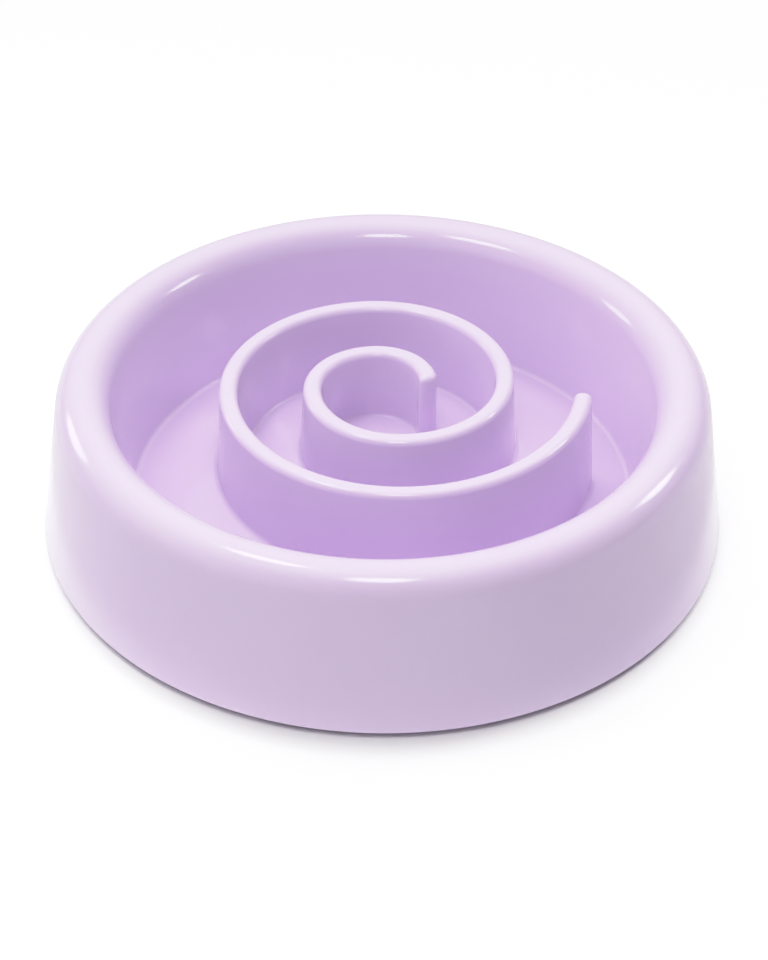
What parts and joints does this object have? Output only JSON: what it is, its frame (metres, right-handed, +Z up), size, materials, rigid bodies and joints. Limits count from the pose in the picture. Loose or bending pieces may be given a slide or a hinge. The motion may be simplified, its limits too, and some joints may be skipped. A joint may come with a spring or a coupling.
{
  "type": "slow feeder bowl",
  "caption": "Round pet bowl with a broad rolled rim, flared skirt, crowned floor and a tall spiral ridge that slows eating, on press-in rubber feet under the skirt",
  "frame": {"origin": "centre of the bowl's axis on the surface that its four feet stand on", "axes": "+Z up along the axis of the bowl, -Y toward the viewer of the picture (front), +X to the viewer's right, where the ridge's outer end is"},
  "size_m": [0.2096, 0.2096, 0.0506],
  "materials": {
    "bowl": "glossy moulded lilac polypropylene with a fine soft grain",
    "feet": "matt dark grey thermoplastic rubber"
  },
  "bodies": {
    "root": {"outer_skirt": "bowl", "rolled_rim": "bowl", "basin_wall": "bowl", "basin_floor": "bowl", "spiral_ridge": "bowl", "foot_socket_back_right": "bowl", "foot_socket_back_left": "bowl", "foot_socket_front_left": "bowl", "foot_socket_front_right": "bowl", "rubber_foot_back_right": "feet", "rubber_foot_back_left": "feet", "rubber_foot_front_left": "feet", "rubber_foot_front_right": "feet"}
  },
  "joints": []
}
